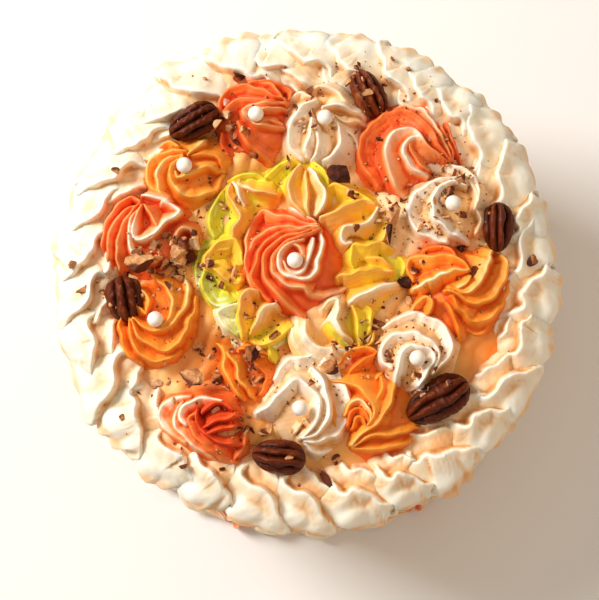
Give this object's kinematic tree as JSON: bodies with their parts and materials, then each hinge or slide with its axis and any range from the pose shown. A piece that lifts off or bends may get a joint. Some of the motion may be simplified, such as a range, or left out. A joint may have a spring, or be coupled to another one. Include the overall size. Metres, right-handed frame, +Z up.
{
  "type": "carrot cake",
  "caption": "Round carrot cake frosted in cream, with a shell border, coral, orange and cream piped rosettes, leaf shells, pecans and sugar pearls.",
  "frame": {"origin": "centre of the cake body's flat underside", "axes": "+Z up through the middle of the cake; -Y is the side towards the camera and +X is to its right"},
  "size_m": [0.2217, 0.2219, 0.1136],
  "materials": {
    "cream_icing": "soft cream icing, satin",
    "coral_icing": "coral icing with pale crests, satin",
    "orange_icing": "orange icing with pale crests, satin",
    "leaf_icing": "yellow, green and cream icing, satin",
    "pecan": "dark ridged nut skin",
    "nut_flesh": "broken nut, pale inside and brown skin",
    "pearl": "polished sugar pearl"
  },
  "bodies": {
    "root": {"cake_body": "cream_icing", "border_top": "cream_icing", "border_foot_1": "cream_icing", "border_foot_2": "cream_icing", "border_foot_3": "cream_icing", "border_foot_4": "cream_icing", "border_foot_5": "cream_icing", "border_foot_6": "cream_icing", "border_foot_7": "cream_icing", "foot_star_1": "coral_icing", "foot_star_2": "coral_icing", "foot_star_3": "coral_icing", "foot_star_4": "coral_icing", "foot_star_5": "coral_icing", "foot_star_6": "coral_icing", "foot_star_7": "coral_icing", "rosette_centre": "coral_icing", "rosette_1": "coral_icing", "rosette_2": "cream_icing", "rosette_3": "coral_icing", "rosette_4": "cream_icing", "rosette_5": "orange_icing", "rosette_6": "cream_icing", "rosette_7": "orange_icing", "rosette_8": "cream_icing", "rosette_9": "coral_icing", "rosette_10": "orange_icing", "rosette_11": "coral_icing", "rosette_12": "orange_icing", "rosette_13": "orange_icing", "rosette_14": "orange_icing", "leaf_1": "leaf_icing", "leaf_2": "leaf_icing", "leaf_3": "leaf_icing", "leaf_4": "leaf_icing", "leaf_5": "leaf_icing", "leaf_6": "leaf_icing", "leaf_7": "leaf_icing", "leaf_8": "leaf_icing", "pecan_1": "pecan", "pecan_2": "pecan", "pecan_3": "pecan", "pecan_4": "pecan", "pecan_5": "pecan", "pecan_6": "pecan", "nut_1": "nut_flesh", "nut_2": "nut_flesh", "nut_3": "nut_flesh", "nut_4": "nut_flesh", "nut_5": "nut_flesh", "nut_6": "nut_flesh", "pearl_1": "pearl", "pearl_2": "pearl", "pearl_3": "pearl", "pearl_4": "pearl", "pearl_5": "pearl", "pearl_6": "pearl", "pearl_7": "pearl", "pearl_8": "pearl"}
  },
  "joints": []
}
